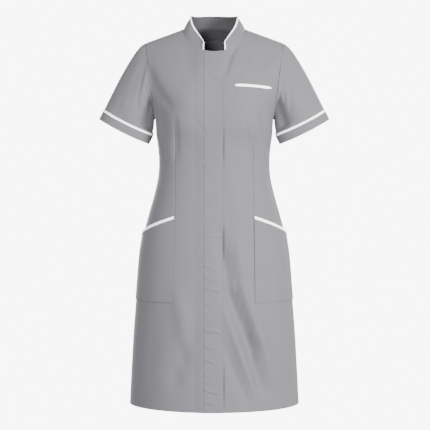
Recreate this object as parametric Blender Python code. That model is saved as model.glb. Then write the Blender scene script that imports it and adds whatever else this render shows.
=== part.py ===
# Short-sleeved housekeeping dress with a stand collar, hollow, filled out as if worn.
# Metres, +Z up. The front faces -Y and the wearer's left side is +X.
# Height 0 is level with the side neck points, where the wearer's shoulders hold the dress up.

import math
from collections import namedtuple

import bmesh
import bpy
from mathutils import Vector

# Cloth walls and gaps
CLOTH = 0.0016
DOUBLE_CLOTH = 0.0020
TRIM_CLOTH = 0.0011
SEAM_GAP = 0.0003
LAID_GAP = 0.0005

# Colours, as linear red, green and blue
GREY = (0.34, 0.335, 0.36)
WHITE = (0.90, 0.90, 0.91)

# Heights from the side neck points
HEM = -0.996
PANEL_CHANGE = -0.300
UNDERARM = -0.240
SHOULDER_TIP = -0.037

# Neck, shoulders and armholes
NECK_HALF_WIDTH = 0.081
FRONT_NECK_DROP = 0.068
BACK_NECK_RISE = 0.010
SHOULDER_HALF_WIDTH = 0.182
UNDERARM_HALF_WIDTH = 0.157
ARMHOLE_LEAN = 1.1
FRONT_CROWN = 0.170
BACK_CROWN = 0.115
FRONT_CROWN_RISE = 0.049
BACK_CROWN_RISE = 0.062

# Front opening and dart line
PLACKET_SEAM = 0.0262
PLACKET_EDGE = 0.0205
PLACKET_COLUMNS = 4
STAND_START = -0.0285
STAND_EDGE = 0.0150
STAND_COLUMNS = 3
FLUSH_FROM = 0.0330
FLUSH_TO = 0.0500
FLUSH_STEP = 0.0002
DART_LINE = 0.103

# Columns and rows of the panels' grids
NECK_COLUMNS = 6
LAPPED_COLUMNS = 1
SHOULDER_COLUMNS = 5
ARMHOLE_COLUMNS = 9
DART_COLUMN = 7
LOWER_ROWS = 15
UPPER_ROWS = 11
TOP_CROWDING = 1.7
TOP_SWING = 0.35
SIDE_SHARE = 0.9999999

# Steps that the surface's normal is measured with
TURN_STEP = 0.004
HEIGHT_STEP = 0.0006
NEAR_RIDGE = 0.02

# How sharply the folds fade out at the side seams
FOLD_FADE = 8

# Sleeves
SLEEVE_LEAN = math.radians(26.5)
CUFF_CENTRE = Vector((0.2405, 0.0, -0.2725))
CUFF_HALF_WIDTH = 0.0735
CUFF_HALF_DEPTH = 0.0460
CUFF_DEPTH = 0.0230
CUFF_BOW = 0.0040
PIPING_DEPTH = 0.0058
CUFF_PROUD = 0.0010
PIPING_PROUD = 0.0006
SLEEVE_ROWS = 8
ROW_CROWDING = 1.15
ARMHOLE_GAP = 0.0012
ARMHOLE_CENTRE = 0.170
TOP_SPREAD = 1.5
SIDE_PULL = 0.6
TOP_PULL = 0.5
CUFF_PULL = 0.9

# Collar
COLLAR_AXIS = -0.008
COLLAR_END = 90 + math.degrees(math.acos((PLACKET_SEAM + SEAM_GAP) / NECK_HALF_WIDTH))
COLLAR_BACK_COLUMNS = 7
COLLAR_END_TRIM = 2.9
COLLAR_ROWS = 3
COLLAR_BOW = 0.0015
NECK_GAP = 0.0005
NECK_STEP = 0.5
COLLAR_TRIM = 0.0036
TRIM_GAP = 0.0008
TRIM_START = 0.06
FACING_ROWS = (0.6, 1.0, 2.0, 3.0, 3.5)
FACING_GAP = 0.0013
FACING_COLUMNS = 4

# Pockets
POCKET_BOTTOM = -0.717
MOUTH_INNER = -0.495
MOUTH_OUTER = -0.544
MOUTH_GAPE = 0.0030
GAPE_INNER = 0.1
GAPE_OUTER = 0.8
POCKET_SIDE = math.radians(89.6)
POCKET_ROWS = 7
HIP_TRIM = 0.0072
WELT_INNER = 0.0535
WELT_OUTER = 0.1465
WELT_TOP = -0.1545
WELT_DEPTH = 0.0066
WELT_DROP = 0.0040
WELT_ROUND = 0.0012
WELT_COLUMNS = 9

Section = namedtuple("Section", "height half_width front_depth back_depth squareness")
BODY_SECTIONS = (
    Section(-0.996, 0.2265, 0.157, 0.155, 2.00),
    Section(-0.900, 0.2215, 0.152, 0.151, 2.00),
    Section(-0.800, 0.2155, 0.146, 0.146, 2.05),
    Section(-0.700, 0.2075, 0.139, 0.140, 2.10),
    Section(-0.600, 0.1985, 0.131, 0.133, 2.15),
    Section(-0.550, 0.1895, 0.126, 0.127, 2.20),
    Section(-0.500, 0.1770, 0.119, 0.118, 2.20),
    Section(-0.454, 0.1640, 0.111, 0.107, 2.20),
    Section(-0.410, 0.1530, 0.103, 0.097, 2.20),
    Section(-0.366, 0.1470, 0.099, 0.091, 2.20),
    Section(-0.320, 0.1490, 0.103, 0.092, 2.20),
    Section(-0.280, 0.1545, 0.110, 0.097, 2.25),
    Section(-0.240, 0.1570, 0.116, 0.102, 2.30),
    Section(-0.200, 0.1690, 0.116, 0.106, 2.30),
    Section(-0.160, 0.1850, 0.111, 0.108, 2.30),
    Section(-0.110, 0.2000, 0.099, 0.106, 2.30),
    Section(-0.060, 0.2080, 0.083, 0.096, 2.30),
    Section(-0.020, 0.2100, 0.076, 0.080, 2.30),
    Section(0.020, 0.2100, 0.070, 0.068, 2.30),
)

# A fold runs from start to end. Its width is across it and a negative height is a trough.
Fold = namedtuple("Fold", "side start_x start_z end_x end_z width height")
FOLDS = (
    Fold("front", 0.034, -0.520, 0.066, -0.690, 0.013, -0.0060),
    Fold("front", 0.058, -0.650, 0.118, -0.900, 0.014, -0.0075),
    Fold("front", 0.091, -0.560, 0.128, -0.860, 0.016, 0.0045),
    Fold("front", 0.040, -0.770, 0.110, -0.940, 0.014, 0.0045),
    Fold("front", 0.036, -0.840, 0.088, -0.965, 0.012, -0.0040),
    Fold("front", -0.046, -0.780, -0.112, -0.935, 0.018, -0.0045),
    Fold("front", -0.090, -0.700, -0.060, -0.830, 0.026, 0.0035),
    Fold("front", -0.070, -0.180, -0.080, -0.250, 0.045, 0.0070),
    Fold("front", 0.070, -0.180, 0.080, -0.250, 0.045, 0.0070),
    Fold("back", -0.070, -0.300, -0.072, -0.440, 0.014, -0.0035),
    Fold("back", 0.070, -0.300, 0.072, -0.440, 0.014, -0.0035),
    Fold("back", -0.060, -0.520, -0.100, -0.930, 0.020, -0.0060),
    Fold("back", 0.050, -0.560, 0.096, -0.950, 0.020, -0.0055),
    Fold("back", -0.012, -0.600, -0.030, -0.960, 0.026, 0.0045),
)

CollarStation = namedtuple("CollarStation", "turn rise lean")
COLLAR_STATIONS = (
    CollarStation(0.0, 0.0330, 0.0085),
    CollarStation(50.0, 0.0340, 0.0140),
    CollarStation(90.0, 0.0345, 0.0205),
    CollarStation(120.0, 0.0345, 0.0208),
    CollarStation(140.0, 0.0343, 0.0172),
    CollarStation(151.0, 0.0292, 0.0115),
    CollarStation(COLLAR_END, 0.0190, 0.0018),
)


def clear_scene():
    for item in list(bpy.data.objects):
        bpy.data.objects.remove(item, do_unlink=True)


def make_material(name, colour, roughness):
    material = bpy.data.materials.new(name)
    material.use_nodes = True
    shader = material.node_tree.nodes["Principled BSDF"]
    shader.inputs["Base Color"].default_value = (*colour, 1.0)
    shader.inputs["Roughness"].default_value = roughness
    shader.inputs["Metallic"].default_value = 0.0
    return material


def mix(first, second, share):
    return first + (second - first) * share


def smooth(share):
    share = min(max(share, 0.0), 1.0)
    return share * share * (3 - 2 * share)


def read_table(rows, key, position, column):
    # Reads a column between the rows with a smooth curve that never overshoots them.
    places = [getattr(row, key) for row in rows]
    values = [getattr(row, column) for row in rows]
    position = min(max(position, places[0]), places[-1])
    last = len(rows) - 1
    i = 0
    while i < last - 1 and position > places[i + 1]:
        i += 1

    def slope(at):
        if at <= 0 or at >= last:
            return 0.0 if last < 2 else slope_between(min(max(at, 0), last - 1))
        before, after = slope_between(at - 1), slope_between(at)
        if before * after <= 0:
            return 0.0
        return 2 * before * after / (before + after)

    def slope_between(at):
        return (values[at + 1] - values[at]) / (places[at + 1] - places[at])

    span = places[i + 1] - places[i]
    t = (position - places[i]) / span
    start = (1 + 2 * t) * (1 - t) ** 2 * values[i] + t * (1 - t) ** 2 * span * slope(i)
    end = t * t * (3 - 2 * t) * values[i + 1] + t * t * (t - 1) * span * slope(i + 1)
    return start + end


def body(height, column):
    return read_table(BODY_SECTIONS, "height", height, column)


def ridge(x, front):
    # Height of the shoulder line at x, carried on smoothly above the neck as the panel's crown.
    slope = SHOULDER_TIP / (SHOULDER_HALF_WIDTH - NECK_HALF_WIDTH)
    if abs(x) > NECK_HALF_WIDTH:
        return slope * (abs(x) - NECK_HALF_WIDTH)
    crown = FRONT_CROWN_RISE if front else BACK_CROWN_RISE
    t = abs(x) / NECK_HALF_WIDTH
    return crown * (2 * t**3 - 3 * t**2 + 1) + slope * NECK_HALF_WIDTH * (t**3 - t**2)


def below_ridge(angle, height):
    front = math.cos(angle) > 0
    x = body(height, "half_width") * math.sin(angle)
    return (ridge(x, front) - height) / (FRONT_CROWN if front else BACK_CROWN)


def smooth_body(angle, height):
    # Angle 0 is the centre front, a quarter turn either way a side and a half turn the centre back.
    front = math.cos(angle) > 0
    share = math.sin(angle)
    x = body(height, "half_width") * share
    power = body(height, "squareness")
    depth = body(height, "front_depth" if front else "back_depth")
    y = depth * max(1 - abs(share) ** power, 0.0) ** (1 / power)
    down = min(max(below_ridge(angle, height), 0.0), 1.0)
    y = y * math.sqrt(1 - (1 - down) ** 2) + SEAM_GAP / 2
    return Vector((x, -y if front else y, height))


def body_normal(angle, height):
    # Near the shoulder line the slope is read from one side only, from the cloth below.
    inward = -math.copysign(TURN_STEP, math.sin(angle) * math.cos(angle))
    if below_ridge(angle, height) < NEAR_RIDGE:
        across = (smooth_body(angle, height) - smooth_body(angle + inward, height)) / -inward
        upward = smooth_body(angle, height) - smooth_body(angle, height - HEIGHT_STEP)
    else:
        across = smooth_body(angle + TURN_STEP, height) - smooth_body(angle - TURN_STEP, height)
        upward = smooth_body(angle, height + HEIGHT_STEP) - smooth_body(angle, height - HEIGHT_STEP)
    return across.cross(upward).normalized()


def fold_height(x, height, front):
    total = 0.0
    for fold in FOLDS:
        if (fold.side == "front") != front:
            continue
        run_x, run_z = fold.end_x - fold.start_x, fold.end_z - fold.start_z
        length = math.hypot(run_x, run_z)
        along = ((x - fold.start_x) * run_x + (height - fold.start_z) * run_z) / length
        across = ((x - fold.start_x) * run_z - (height - fold.start_z) * run_x) / length
        past = max(-along, along - length, 0.0)
        reach = math.hypot(across, past) / fold.width
        ends = min(max((along + fold.width) / (length + 2 * fold.width), 0.0), 1.0)
        total += fold.height * math.exp(-reach * reach) * math.sin(math.pi * ends) ** 0.5
    return total


def body_point(angle, height, out=0.0):
    # A point of the dress's surface, with its folds, moved out square to it.
    base = smooth_body(angle, height)
    normal = body_normal(angle, height)
    front = math.cos(angle) > 0
    side_fade = 1 - abs(math.sin(angle)) ** FOLD_FADE
    point = base + normal * (fold_height(base.x, height, front) * side_fade + out)
    if front:
        point.y = min(point.y, -SEAM_GAP / 2)
    else:
        point.y = max(point.y, SEAM_GAP / 2)
    return point


def angle_at(x, height, front):
    share = min(max(x / body(height, "half_width"), -1.0), 1.0)
    angle = math.asin(share)
    return angle if front else math.copysign(math.pi, x if x else 1.0) - angle


def neck_edge(turn, front):
    # Across and height of the neckline, turn 0 at the side neck point and a quarter turn at the centre.
    x = NECK_HALF_WIDTH * math.cos(turn)
    if front:
        return x, -FRONT_NECK_DROP * abs(math.sin(turn))
    return x, BACK_NECK_RISE * math.sin(turn) ** 4


def armhole_edge(turn):
    # Turn 0 is the shoulder tip and a half turn the underarm.
    height = mix(UNDERARM, SHOULDER_TIP, (1 + math.cos(turn)) / 2)
    reach = (height - UNDERARM) / (SHOULDER_TIP - UNDERARM)
    spread = SHOULDER_HALF_WIDTH - UNDERARM_HALF_WIDTH
    return UNDERARM_HALF_WIDTH + spread * reach**ARMHOLE_LEAN, height


def neck_turns(front):
    # Turns from the front opening, or the centre back seam, out to the side neck point.
    first = math.radians(COLLAR_END - 90) if front else math.acos(SEAM_GAP / 2 / NECK_HALF_WIDTH)
    return [mix(first, 0.0, i / NECK_COLUMNS) for i in range(NECK_COLUMNS)]


def top_edge(front, first_x, lapped):
    # The upper edge of half a panel: neckline, shoulder seam, then armhole, as across and height.
    # The lapped columns are the ones that lie under the placket, before the collar's end.
    turns = neck_turns(front)
    first = math.acos(first_x / NECK_HALF_WIDTH)
    turns = [mix(first, turns[0], i / lapped) for i in range(lapped)] + turns
    edge = [neck_edge(turn, front) for turn in turns]
    for i in range(SHOULDER_COLUMNS):
        share = i / SHOULDER_COLUMNS
        x = mix(NECK_HALF_WIDTH, SHOULDER_HALF_WIDTH, share)
        edge.append((x, SHOULDER_TIP * share))
    for i in range(ARMHOLE_COLUMNS + 1):
        edge.append(armhole_edge(math.pi * i / ARMHOLE_COLUMNS))
    return edge


def column_x(column, dart, last, first_x, height):
    # How far out from the centre a column stands below the panel's change.
    half_width = body(height, "half_width")
    if column <= dart:
        return mix(first_x, DART_LINE, column / dart)
    first_angle = math.asin(DART_LINE / half_width)
    share = (column - dart) / (last - dart)
    return half_width * math.sin(mix(first_angle, math.pi / 2, share))


def upper_share(row):
    # Rows stand closer together towards the top, where the cloth turns over the shoulder.
    return 1 - (1 - row / UPPER_ROWS) ** TOP_CROWDING


def half_panel(first_x, front, lapped=0):
    # Rows of (share across, height) from the hem up to the neckline, shoulder and armhole.
    # The columns swing in only near the top, so that none runs along the neckline.
    edge = top_edge(front, first_x, lapped)
    last = len(edge) - 1
    dart = DART_COLUMN + lapped
    corner = last - SHOULDER_COLUMNS - ARMHOLE_COLUMNS
    rows = []
    for i in range(LOWER_ROWS):
        height = mix(HEM, PANEL_CHANGE, i / LOWER_ROWS)
        width = body(height, "half_width")
        rows.append([(column_x(j, dart, last, first_x, height) / width, height) for j in range(last + 1)])
    for i in range(UPPER_ROWS + 1):
        rise = upper_share(i)
        row = []
        for j, (x, z) in enumerate(edge):
            height = mix(PANEL_CHANGE, z, rise)
            low = column_x(j, dart, last, first_x, PANEL_CHANGE)
            swing = 1 - (1 - rise) ** TOP_SWING if 0 < j <= corner else rise
            straight = mix(low, x, swing) / body(height, "half_width")
            low /= body(PANEL_CHANGE, "half_width")
            shaped = mix(low, x / body(z, "half_width"), rise)
            bend = 0.0 if j <= corner else (j - corner) / (last - corner)
            row.append((min(mix(straight, shaped, bend), 1.0), height))
        rows.append(row)
    return rows


def make_piece(name, outer, inner, material, closed=False):
    # One wall of cloth between an outer and an inner grid of points, closed along its edges.
    mesh = bmesh.new()
    skins = []
    for grid in (outer, inner):
        skins.append([[mesh.verts.new(point) for point in row] for row in grid])
    rows, columns = len(outer), len(outer[0])
    wraps = columns if closed else columns - 1
    for skin in skins:
        for i in range(rows - 1):
            for j in range(wraps):
                k = (j + 1) % columns
                mesh.faces.new((skin[i][j], skin[i][k], skin[i + 1][k], skin[i + 1][j]))
    for i in (0, rows - 1):
        for j in range(wraps):
            k = (j + 1) % columns
            mesh.faces.new((skins[0][i][j], skins[0][i][k], skins[1][i][k], skins[1][i][j]))
    if not closed:
        for j in (0, columns - 1):
            for i in range(rows - 1):
                corners = skins[0][i][j], skins[0][i + 1][j], skins[1][i + 1][j], skins[1][i][j]
                mesh.faces.new(corners)
    bmesh.ops.recalc_face_normals(mesh, faces=mesh.faces)
    data = bpy.data.meshes.new(name)
    mesh.to_mesh(data)
    mesh.free()
    data.materials.append(material)
    data.shade_smooth()
    data.set_sharp_from_angle(angle=math.radians(35))
    piece = bpy.data.objects.new(name, data)
    bpy.context.collection.objects.link(piece)
    return piece


def panel_wall(rows, side, front, out=None):
    # Outer and inner grids of a panel: side is 1 for the wearer's left and -1 for the right.
    outer, inner = [], []
    for row in rows:
        outer_row, inner_row = [], []
        for share, height in row:
            angle = side * math.asin(min(max(share, -SIDE_SHARE), SIDE_SHARE))
            if not front:
                angle = math.copysign(math.pi, side) - angle
            lift = out(share * body(height, "half_width")) if out else 0.0
            outer_row.append(body_point(angle, height, lift))
            inner_row.append(body_point(angle, height, lift - CLOTH))
        outer.append(outer_row)
        inner.append(inner_row)
    return outer, inner


def placket_lift(x):
    # The right front rises to lie flush with the placket that is sewn to it.
    flush = LAID_GAP + DOUBLE_CLOTH - FLUSH_STEP
    return flush * smooth((FLUSH_TO - x) / (FLUSH_TO - FLUSH_FROM))


def make_fronts(material):
    rows = half_panel(PLACKET_SEAM + SEAM_GAP, True)
    make_piece("front_right", *panel_wall(rows, -1, True, placket_lift), material)
    rows = half_panel(STAND_EDGE + SEAM_GAP, True, LAPPED_COLUMNS)
    make_piece("front_left", *panel_wall(rows, 1, True), material)


def make_backs(material):
    rows = half_panel(SEAM_GAP / 2, False)
    left_outer, left_inner = panel_wall(rows, 1, False)
    right_outer, right_inner = panel_wall(rows, -1, False)
    make_piece("back_right", right_outer, right_inner, material)
    make_piece("back_left", left_outer, left_inner, material)
    outer = [right[:0:-1] + left for right, left in zip(right_outer, left_outer)]
    inner = [right[:0:-1] + left for right, left in zip(right_inner, left_inner)]
    make_facing(outer, inner, material)


def make_strip(name, first_x, last_x, count, lift, wall, material):
    # An upright strip of the front from hem to neckline, its inner side lifted off the panels' surface.
    columns = [mix(first_x, last_x, i / count) for i in range(count + 1)]
    outer, inner = [], []
    for i in range(LOWER_ROWS + UPPER_ROWS + 1):
        outer_row, inner_row = [], []
        for x in columns:
            top = -FRONT_NECK_DROP * math.sqrt(1 - (x / NECK_HALF_WIDTH) ** 2)
            if i < LOWER_ROWS:
                height = mix(HEM, PANEL_CHANGE, i / LOWER_ROWS)
            else:
                height = mix(PANEL_CHANGE, top, upper_share(i - LOWER_ROWS))
            angle = angle_at(x, height, True)
            outer_row.append(body_point(angle, height, lift + wall))
            inner_row.append(body_point(angle, height, lift))
        outer.append(outer_row)
        inner.append(inner_row)
    make_piece(name, outer, inner, material)


def armhole_points(side):
    # The armhole's corners round from the shoulder tip by the front, with the body's normal at each.
    points, normals = [], []
    count = 2 * ARMHOLE_COLUMNS
    for i in range(count):
        turn = 2 * math.pi * i / count
        front = turn <= math.pi
        x, height = armhole_edge(turn)
        angle = angle_at(side * x, height, front)
        point = smooth_body(angle, height)
        normal = body_normal(angle, height)
        if i in (0, ARMHOLE_COLUMNS):
            point.y = 0.0
            normal.y = 0.0
        points.append(point)
        normals.append(normal.normalized())
    return points, normals


def sleeve_axis(side):
    return Vector((side * math.sin(SLEEVE_LEAN), 0.0, -math.cos(SLEEVE_LEAN)))


def cuff_ring(side, back_along, proud=0.0):
    # A ring round the sleeve's axis, back_along up from the cuff's open edge, which bows down front and back.
    outward = Vector((side * math.cos(SLEEVE_LEAN), 0.0, math.sin(SLEEVE_LEAN)))
    centre = Vector((side * CUFF_CENTRE.x, 0.0, CUFF_CENTRE.z)) - sleeve_axis(side) * back_along
    ring = []
    count = 2 * ARMHOLE_COLUMNS
    for i in range(count):
        turn = 2 * math.pi * i / count
        across = outward * (CUFF_HALF_WIDTH + proud) * math.cos(turn)
        forward = Vector((0.0, -(CUFF_HALF_DEPTH + proud) * math.sin(turn), 0.0))
        bow = sleeve_axis(side) * CUFF_BOW * math.sin(turn) ** 2
        ring.append(centre + across + forward + bow)
    return ring


def sleeve_skins(side):
    points, normals = armhole_points(side)
    centre = Vector((side * ARMHOLE_CENTRE, 0.0, mix(UNDERARM, SHOULDER_TIP, 0.5)))
    axis = sleeve_axis(side)
    shoulder = Vector((side * (SHOULDER_HALF_WIDTH - NECK_HALF_WIDTH), 0.0, SHOULDER_TIP))
    shoulder.normalize()
    ends = cuff_ring(side, CUFF_DEPTH + PIPING_DEPTH + SEAM_GAP)
    count = len(points)
    lines = []
    for i in range(count):
        tangent = points[(i + 1) % count] - points[i - 1]
        off_panel = tangent.cross(normals[i]).normalized()
        if off_panel.dot(centre - points[i]) < 0:
            off_panel.negate()
        start = points[i] + off_panel * ARMHOLE_GAP + normals[i] * SEAM_GAP
        top = max(math.cos(2 * math.pi * i / count), 0.0) ** TOP_SPREAD
        leave = (axis * (1 - top) + shoulder * top).normalized()
        length = (ends[i] - start).length
        start_pull = leave * length * mix(SIDE_PULL, TOP_PULL, top)
        lines.append((start, start_pull, ends[i], axis * length * CUFF_PULL))
    outer = []
    for row in range(SLEEVE_ROWS + 1):
        t = (row / SLEEVE_ROWS) ** ROW_CROWDING
        ring = []
        for start, start_pull, end, end_pull in lines:
            point = start * (2 * t**3 - 3 * t**2 + 1) + start_pull * (t**3 - 2 * t**2 + t)
            point += end * (3 * t**2 - 2 * t**3) + end_pull * (t**3 - t**2)
            ring.append(point)
        outer.append(ring)
    return outer, offset_rings(outer, CLOTH)


def offset_rings(rings, inward):
    # The rings of a tube, moved in square to its surface.
    count = len(rings[0])
    moved = []
    for i, ring in enumerate(rings):
        before, after = rings[max(i - 1, 0)], rings[min(i + 1, len(rings) - 1)]
        middle = sum(ring, Vector()) / count
        new_ring = []
        for j, point in enumerate(ring):
            along = after[j] - before[j]
            around = ring[(j + 1) % count] - ring[j - 1]
            normal = along.cross(around).normalized()
            if normal.dot(point - middle) < 0:
                normal.negate()
            new_ring.append(point - normal * inward)
        moved.append(new_ring)
    return moved


def make_sleeve(side, name, cloth, white):
    outer, inner = sleeve_skins(side)
    make_piece(f"sleeve_{name}", outer, inner, cloth, closed=True)
    levels = (CUFF_DEPTH + PIPING_DEPTH, CUFF_DEPTH + SEAM_GAP)
    outer = [cuff_ring(side, level, PIPING_PROUD) for level in levels]
    inner = [cuff_ring(side, level, PIPING_PROUD - CLOTH) for level in levels]
    make_piece(f"sleeve_piping_{name}", outer, inner, white, closed=True)
    levels = (CUFF_DEPTH, CUFF_DEPTH / 2, 0.0)
    outer = [cuff_ring(side, level, CUFF_PROUD) for level in levels]
    inner = [cuff_ring(side, level, CUFF_PROUD - DOUBLE_CLOTH) for level in levels]
    make_piece(f"cuff_{name}", outer, inner, cloth, closed=True)


def neck_point(turn):
    # A point of the neckline, by degrees round from the centre back, and the way off the panel there.
    side = math.copysign(1.0, turn)
    front = abs(turn) > 90

    def edge_point(at):
        x, height = neck_edge(math.radians(abs(abs(at) - 90)), front)
        return smooth_body(angle_at(side * x, height, front), height)

    x, height = neck_edge(math.radians(abs(abs(turn) - 90)), front)
    normal = body_normal(angle_at(side * x, height, front), height)
    step = NECK_STEP if abs(turn) < 90 or abs(turn) > 90 + NECK_STEP else -NECK_STEP
    tangent = edge_point(turn + step) - edge_point(turn)
    off_panel = tangent.cross(normal).normalized()
    point = edge_point(turn)
    centre = Vector((0.0, COLLAR_AXIS, COLLAR_STATIONS[0].rise))
    if off_panel.dot(centre - point) < 0:
        off_panel.negate()
    return point + off_panel * NECK_GAP


def collar_inward(point):
    return Vector((-point.x, COLLAR_AXIS - point.y, 0.0)).normalized()


def collar_point(turn, share, out=0.0):
    # Share 0 is the neck seam and 1 the free edge.
    base = neck_point(turn)
    inward = collar_inward(base)
    rise = read_table(COLLAR_STATIONS, "turn", abs(turn), "rise")
    lean = read_table(COLLAR_STATIONS, "turn", abs(turn), "lean")
    bow = COLLAR_BOW * math.sin(math.pi * share)
    return base + inward * (lean * share - bow - out) + Vector((0.0, 0.0, rise * share))


def collar_turns():
    # Stations of half the collar, from its front end to the centre back.
    turns = [COLLAR_END, COLLAR_END - COLLAR_END_TRIM]
    turns += [90 + math.degrees(turn) for turn in neck_turns(True)[1:]]
    turns += [mix(90, 0, i / COLLAR_BACK_COLUMNS) for i in range(COLLAR_BACK_COLUMNS)]
    return turns


def make_collar(material):
    half = collar_turns()
    turns = half + [0.0] + [-turn for turn in reversed(half)]
    outer, inner = [], []
    for i in range(COLLAR_ROWS + 1):
        share = i / COLLAR_ROWS
        outer.append([collar_point(turn, share) for turn in turns])
        inner.append([collar_point(turn, share, -DOUBLE_CLOTH) for turn in turns])
    make_piece("collar", outer, inner, material)


def make_collar_piping(material):
    # A ribbon up one front end, round the corner, along the top and down the other front end.
    inside = COLLAR_END - COLLAR_END_TRIM
    lower = 1 - COLLAR_TRIM / COLLAR_STATIONS[0].rise
    pairs = [((COLLAR_END, share), (inside, share)) for share in (TRIM_START, 0.5)]
    pairs.append(((COLLAR_END, 1.0), (inside, lower)))
    pairs += [((turn, 1.0), (turn, lower)) for turn in collar_turns()[2:]]
    mirrored = [tuple((-turn, share) for turn, share in pair) for pair in reversed(pairs)]
    path = pairs + [((0.0, 1.0), (0.0, lower))] + mirrored
    outer = [[collar_point(*place, TRIM_GAP + TRIM_CLOTH) for place in pair] for pair in path]
    inner = [[collar_point(*place, TRIM_GAP) for place in pair] for pair in path]
    make_piece("collar_piping", outer, inner, material)


def make_facing(outer, inner, material):
    # Rows are counted down from the neckline and columns out from the centre back.
    centre = len(outer[0]) // 2
    skins = ([], [])
    for drop in FACING_ROWS:
        upper = len(outer) - 1 - int(drop)
        lower = max(upper - 1, 0)
        rows = ([], [])
        for j in range(centre - FACING_COLUMNS, centre + FACING_COLUMNS + 1):
            share = drop - int(drop)
            point = inner[upper][j].lerp(inner[lower][j], share)
            normal = (outer[upper][j].lerp(outer[lower][j], share) - point).normalized()
            rows[0].append(point - normal * FACING_GAP)
            rows[1].append(point - normal * (FACING_GAP + TRIM_CLOTH))
        skins[0].append(rows[0])
        skins[1].append(rows[1])
    make_piece("back_neck_facing", *skins, material)


def pocket_rows(first_drop, last_drop, rows, out):
    # Points over the front from the dart line to the side seam, between two heights below the mouth.
    last = NECK_COLUMNS + SHOULDER_COLUMNS + ARMHOLE_COLUMNS
    grid = []
    for i in range(rows + 1):
        row = []
        for j in range(DART_COLUMN, last + 1):
            across = (j - DART_COLUMN) / (last - DART_COLUMN)
            mouth = mix(MOUTH_INNER, MOUTH_OUTER, across)
            height = mix(first_drop(mouth), last_drop(mouth), i / rows)
            x = column_x(j, DART_COLUMN, last, PLACKET_SEAM, height)
            angle = min(math.asin(min(x / body(height, "half_width"), 1.0)), POCKET_SIDE)
            up = (height - POCKET_BOTTOM) / (mouth - POCKET_BOTTOM)
            swell = math.sin(math.pi * mix(GAPE_INNER, GAPE_OUTER, across))
            gape = MOUTH_GAPE * max(up, 0.0) ** 3 * swell
            row.append((angle, height, out + gape))
        grid.append(row)
    return grid


def laid_skin(grid, side, out):
    return [[body_point(side * angle, height, lift + out) for angle, height, lift in row] for row in grid]


def make_hip_pocket(side, name, cloth, white):
    grid = pocket_rows(lambda mouth: POCKET_BOTTOM, lambda mouth: mouth, POCKET_ROWS, LAID_GAP)
    make_piece(f"hip_pocket_{name}", laid_skin(grid, side, CLOTH), laid_skin(grid, side, 0.0), cloth)
    lift = 2 * LAID_GAP + CLOTH
    grid = pocket_rows(lambda mouth: mouth - HIP_TRIM, lambda mouth: mouth, 1, lift)
    outer, inner = laid_skin(grid, side, TRIM_CLOTH), laid_skin(grid, side, 0.0)
    make_piece(f"hip_pocket_trim_{name}", outer, inner, white)


def make_welt(material):
    outer, inner = [], []
    for i in range(2):
        outer_row, inner_row = [], []
        for j in range(WELT_COLUMNS + 1):
            x = mix(WELT_INNER, WELT_OUTER, j / WELT_COLUMNS)
            end = WELT_ROUND if j in (0, WELT_COLUMNS) else 0.0
            drop = WELT_DROP * (j / WELT_COLUMNS) ** 2
            height = WELT_TOP - drop - (WELT_DEPTH - end if i else end)
            angle = angle_at(x, height, True)
            outer_row.append(body_point(angle, height, LAID_GAP + CLOTH))
            inner_row.append(body_point(angle, height, LAID_GAP))
        outer.append(outer_row)
        inner.append(inner_row)
    make_piece("chest_pocket_welt", outer, inner, material)


def build():
    clear_scene()
    cloth = make_material("grey_cloth", GREY, 0.85)
    white = make_material("white_trim", WHITE, 0.75)
    make_fronts(cloth)
    make_backs(cloth)
    seam = SEAM_GAP - PLACKET_SEAM
    make_strip("placket", seam, PLACKET_EDGE, PLACKET_COLUMNS, LAID_GAP, DOUBLE_CLOTH, cloth)
    make_strip("button_stand", STAND_START, STAND_EDGE, STAND_COLUMNS, -CLOTH, CLOTH, cloth)
    for side, name in ((-1, "right"), (1, "left")):
        make_sleeve(side, name, cloth, white)
        make_hip_pocket(side, name, cloth, white)
    make_collar(cloth)
    make_collar_piping(white)
    make_welt(white)


build()
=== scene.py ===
# A grey housekeeping dress with white trims, each cloth piece laid over its own solid.
import math
import bmesh
import bpy
import numpy as np
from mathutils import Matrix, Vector


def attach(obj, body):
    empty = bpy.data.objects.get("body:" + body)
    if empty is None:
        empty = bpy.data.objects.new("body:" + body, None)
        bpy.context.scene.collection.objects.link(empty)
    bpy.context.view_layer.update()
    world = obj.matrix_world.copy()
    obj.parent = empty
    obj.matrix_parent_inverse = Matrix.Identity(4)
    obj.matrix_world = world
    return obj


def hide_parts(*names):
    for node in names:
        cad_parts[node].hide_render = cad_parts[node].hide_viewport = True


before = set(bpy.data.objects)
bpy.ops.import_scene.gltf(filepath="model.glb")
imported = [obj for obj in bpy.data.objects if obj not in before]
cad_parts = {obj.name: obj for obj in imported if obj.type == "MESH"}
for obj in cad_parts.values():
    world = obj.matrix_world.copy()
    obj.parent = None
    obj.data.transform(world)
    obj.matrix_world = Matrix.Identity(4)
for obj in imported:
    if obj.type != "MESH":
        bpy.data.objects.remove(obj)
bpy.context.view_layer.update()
bpy.ops.object.select_all(action="DESELECT")
print("Solids loaded:", len(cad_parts))


# Numbers that several pieces share, in metres and degrees
cloth = {
    "sideShare": 0.45,       # how much the way out of the cloth turns towards the sides
    "seamFade": 0.016,       # creases fade out over this distance from neck, shoulder and armhole
    "sideFade": 0.022,       # and over this depth from the side seams
    "sideGap": 0.0004,       # points nearer than this to the side seam's plane are closed up to it
    "backGap": 0.0003,       # and to the back seam's
    "sharpTurn": 50,         # edges that turn more than this stay sharp
}

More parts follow.
